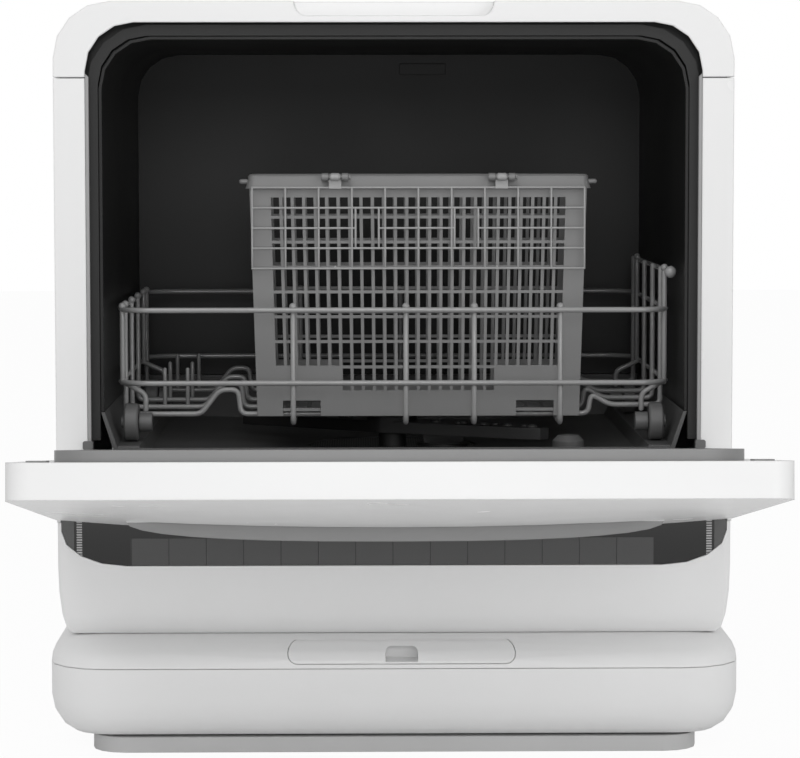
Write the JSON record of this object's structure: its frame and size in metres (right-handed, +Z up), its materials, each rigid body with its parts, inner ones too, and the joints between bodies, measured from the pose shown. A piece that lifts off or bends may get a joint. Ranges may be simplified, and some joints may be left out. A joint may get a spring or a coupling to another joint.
{
  "type": "countertop dishwasher",
  "caption": "Countertop dishwasher with a drop-down door, a rolling wire rack, a lidded cutlery basket, a rotating spray arm and a base with a fill cover.",
  "frame": {"origin": "on the flat underside, under the middle of the cabinet, on the surface that the dishwasher stands on", "axes": "+Z up, -Y out of the front, where the door opens, +X to the right as seen from the front"},
  "size_m": [0.43, 0.7108, 0.465],
  "materials": {
    "shell_white": "satin moulded plastic",
    "door_white": "satin moulded plastic",
    "housing_white": "satin moulded plastic",
    "base_white": "satin moulded plastic",
    "plinth_grey": "matte moulded plastic",
    "pad_rubber": "matte rubber",
    "window_smoked": "gloss tinted acrylic",
    "guide_grey": "light diffuser",
    "board_green": "lacquered circuit board",
    "tub_dark": "satin moulded plastic",
    "basin_grey": "satin moulded plastic",
    "gasket_dark": "matte rubber",
    "sump_black": "matte moulded plastic",
    "filter_steel": "perforated steel",
    "arm_dark": "satin moulded plastic",
    "machinery": "matte moulded plastic",
    "port_grey": "matte moulded plastic",
    "tank_clear": "translucent moulded plastic",
    "liner_grey": "satin moulded plastic",
    "dispenser_grey": "satin moulded plastic",
    "hinge_steel": "pressed steel",
    "wire_coat": "nylon-coated steel wire",
    "wheel_grey": "matte moulded plastic",
    "basket_grey": "matte moulded plastic"
  },
  "bodies": {
    "cabinet": {"plinth": "plinth_grey", "foot_pad_front_left": "pad_rubber", "foot_pad_front_right": "pad_rubber", "foot_pad_rear_left": "pad_rubber", "foot_pad_rear_right": "pad_rubber", "base_pan": "base_white", "base_shoulder": "base_white", "fill_tray": "tank_clear", "water_tank": "tank_clear", "lower_housing": "housing_white", "smoked_window": "window_smoked", "light_guide": "guide_grey", "control_board": "board_green", "top_cover": "shell_white", "left_panel": "shell_white", "right_panel": "shell_white", "rear_cover": "shell_white", "tub": "tub_dark", "tub_basin": "basin_grey", "door_gasket": "gasket_dark", "air_vent": "tub_dark", "float_housing": "basin_grey", "sump": "sump_black", "flat_filter": "filter_steel", "spray_post": "sump_black", "wash_pump": "machinery", "flow_heater": "machinery", "drain_pump": "machinery", "drying_fan": "machinery", "air_break": "tank_clear", "water_inlet_port": "port_grey", "drain_port": "port_grey", "cord_gland": "port_grey", "hinge_bracket_left": "hinge_steel", "hinge_bracket_right": "hinge_steel"},
    "door": {"door_outer": "door_white", "door_liner": "liner_grey", "dispenser_body": "dispenser_grey", "hinge_pin_left": "hinge_steel", "hinge_pin_right": "hinge_steel"},
    "dispenser_lid": {"dispenser_lid": "dispenser_grey"},
    "rack": {"rack_frame": "wire_coat", "wheel_carrier_front_left": "wheel_grey", "wheel_carrier_front_right": "wheel_grey", "wheel_carrier_rear_left": "wheel_grey", "wheel_carrier_rear_right": "wheel_grey"},
    "front_left_wheel": {"wheel_front_left": "wheel_grey"},
    "front_right_wheel": {"wheel_front_right": "wheel_grey"},
    "rear_left_wheel": {"wheel_rear_left": "wheel_grey"},
    "rear_right_wheel": {"wheel_rear_right": "wheel_grey"},
    "basket": {"cutlery_basket": "basket_grey", "lid_pin_left": "basket_grey", "lid_pin_right": "basket_grey"},
    "basket_lid": {"basket_lid": "basket_grey"},
    "spray_arm": {"spray_arm": "arm_dark"},
    "filter_cup": {"filter_cup": "arm_dark"},
    "fill_cover": {"fill_cover": "base_white"}
  },
  "joints": [
    {"name": "door_hinge", "type": "hinge", "parent": "cabinet", "child": "door", "pos_m": [0, -0.2085, 0.1766], "axis": [1, 0, 0], "range_deg": [-84.5, 0]},
    {"name": "dispenser_lid_hinge", "type": "hinge", "parent": "door", "child": "dispenser_lid", "pos_m": [0, -0.46068, 0.20771], "axis": [1, 0, 0], "range_deg": [0, 95]},
    {"name": "rack_slide", "type": "slide", "parent": "cabinet", "child": "rack", "axis": [0, -1, 0], "range_m": [0, 0.2]},
    {"name": "front_left_wheel_axle", "type": "hinge", "parent": "rack", "child": "front_left_wheel", "pos_m": [-0.166, -0.16, 0.2018], "axis": [1, 0, 0], "continuous": true},
    {"name": "front_right_wheel_axle", "type": "hinge", "parent": "rack", "child": "front_right_wheel", "pos_m": [0.166, -0.16, 0.2018], "axis": [1, 0, 0], "continuous": true},
    {"name": "rear_left_wheel_axle", "type": "hinge", "parent": "rack", "child": "rear_left_wheel", "pos_m": [-0.166, 0.036, 0.2018], "axis": [1, 0, 0], "continuous": true},
    {"name": "rear_right_wheel_axle", "type": "hinge", "parent": "rack", "child": "rear_right_wheel", "pos_m": [0.166, 0.036, 0.2018], "axis": [1, 0, 0], "continuous": true},
    {"name": "basket_lift", "type": "slide", "parent": "rack", "child": "basket", "axis": [0, 0, 1], "range_m": [0, 0.07]},
    {"name": "basket_lid_hinge", "type": "hinge", "parent": "basket", "child": "basket_lid", "pos_m": [0.016, -0.147, 0.3565], "axis": [-1, 0, 0], "range_deg": [0, 270]},
    {"name": "spray_arm_spin", "type": "hinge", "parent": "cabinet", "child": "spray_arm", "pos_m": [0, -0.066, 0.1872], "axis": [0, 0, 1], "continuous": true},
    {"name": "filter_turn", "type": "hinge", "parent": "cabinet", "child": "filter_cup", "pos_m": [0.034, -0.066, 0.1785], "axis": [0, 0, 1], "range_deg": [0, 45]},
    {"name": "fill_cover_slide", "type": "slide", "parent": "cabinet", "child": "fill_cover", "axis": [0, -1, 0], "range_m": [0, 0.03]}
  ],
  "couplings": [
    {"joint": "front_left_wheel_axle", "follows": "rack_slide", "rad_per_m": 83.333},
    {"joint": "front_right_wheel_axle", "follows": "rack_slide", "rad_per_m": 83.333},
    {"joint": "rear_left_wheel_axle", "follows": "rack_slide", "rad_per_m": 83.333},
    {"joint": "rear_right_wheel_axle", "follows": "rack_slide", "rad_per_m": 83.333}
  ]
}
